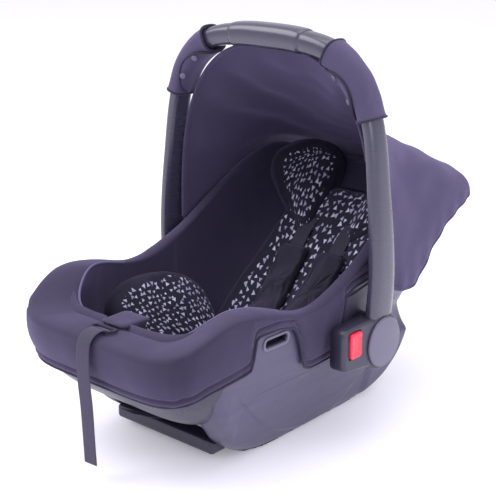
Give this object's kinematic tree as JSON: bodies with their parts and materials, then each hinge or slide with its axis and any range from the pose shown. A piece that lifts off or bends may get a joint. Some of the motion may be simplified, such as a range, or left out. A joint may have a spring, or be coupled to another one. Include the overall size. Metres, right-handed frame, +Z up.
{
  "type": "infant car seat",
  "caption": "Rear-facing infant carrier seat: rocker-based bucket shell, padded cover and insert, harness, swinging carry handle with push buttons, and fabric canopy.",
  "frame": {"origin": "on the floor under the middle of the seat's length and width", "axes": "+Z up, +X towards the child's left side, -Y towards the foot end, +Y towards the head end"},
  "size_m": [0.44, 0.661, 0.576],
  "materials": {
    "shell_plastic": "moulded dark violet-grey plastic, satin",
    "light_plastic": "lighter grey moulded plastic, satin",
    "red_plastic": "vivid red plastic",
    "cover_fabric": "padded knitted cover, dark purple-grey",
    "canopy_fabric": "taut woven polyester, mid purple-grey",
    "printed_jersey": "dark jersey printed with scattered small pale triangles",
    "pad_fabric": "padded dark fabric",
    "webbing": "woven polyester webbing",
    "foam": "expanded polystyrene, pale",
    "steel": "zinc plated steel"
  },
  "bodies": {
    "seat": {"seat_shell": "shell_plastic", "rocker_left": "shell_plastic", "rocker_right": "shell_plastic", "front_cross_bar": "shell_plastic", "rear_cross_bar": "shell_plastic", "belt_guide_left": "light_plastic", "belt_guide_right": "light_plastic", "seat_cover": "cover_fabric", "adjuster_bracket": "steel", "foam_liner": "foam", "body_insert": "printed_jersey", "thigh_bolster_left": "printed_jersey", "thigh_bolster_right": "printed_jersey", "head_pillow": "printed_jersey", "shoulder_strap_left": "webbing", "shoulder_strap_right": "webbing", "shoulder_pad_left": "pad_fabric", "shoulder_pad_right": "pad_fabric", "lap_strap_left": "webbing", "lap_strap_right": "webbing", "buckle": "shell_plastic", "buckle_tongue_left": "light_plastic", "buckle_tongue_right": "light_plastic", "crotch_strap": "webbing", "strap_yoke": "steel", "adjuster_belt": "webbing", "crotch_anchor_bar": "steel", "adjuster_frame": "light_plastic", "adjuster_pin": "steel", "adjuster_strap": "webbing", "pivot_boss_left": "shell_plastic", "pivot_boss_right": "shell_plastic", "pivot_pin_left": "steel", "pivot_pin_right": "steel", "lock_ring_left": "steel", "lock_ring_right": "steel", "canopy": "canopy_fabric"},
    "handle": {"handle_arch": "shell_plastic", "handle_grip": "light_plastic", "hub_left": "shell_plastic", "hub_right": "shell_plastic", "hub_cap_left": "light_plastic", "hub_cap_right": "light_plastic", "canopy_sleeve_left": "canopy_fabric", "canopy_sleeve_right": "canopy_fabric", "button_spring_left": "steel", "button_spring_right": "steel"},
    "release_button_left": {"release_button_left": "red_plastic"},
    "release_button_right": {"release_button_right": "red_plastic"},
    "buckle_button": {"buckle_button": "red_plastic"},
    "adjuster_lever": {"adjuster_lever": "light_plastic"}
  },
  "joints": [
    {"name": "handle_swing", "type": "hinge", "parent": "seat", "child": "handle", "pos_m": [0, 0.0409, 0.143], "axis": [-1, 0, 0], "range_deg": [0, 110]},
    {"name": "release_button_left_press", "type": "slide", "parent": "handle", "child": "release_button_left", "axis": [-1, 0, 0], "range_m": [0, 0.005], "stiffness_N_per_m": 800, "springref_m": -0.002, "deforming": ["button_spring_left"]},
    {"name": "release_button_right_press", "type": "slide", "parent": "handle", "child": "release_button_right", "axis": [1, 0, 0], "range_m": [0, 0.005], "stiffness_N_per_m": 800, "springref_m": -0.002, "deforming": ["button_spring_right"]},
    {"name": "buckle_button_press", "type": "slide", "parent": "seat", "child": "buckle_button", "axis": [0, 1, 0], "range_m": [0, 0.004], "stiffness_N_per_m": 1500, "springref_m": -0.002},
    {"name": "adjuster_lever_press", "type": "hinge", "parent": "seat", "child": "adjuster_lever", "pos_m": [0, -0.2511, 0.2056], "axis": [1, 0, 0], "range_deg": [0, 12], "stiffness_Nm_per_rad": 0.25, "springref_deg": -5.73}
  ]
}
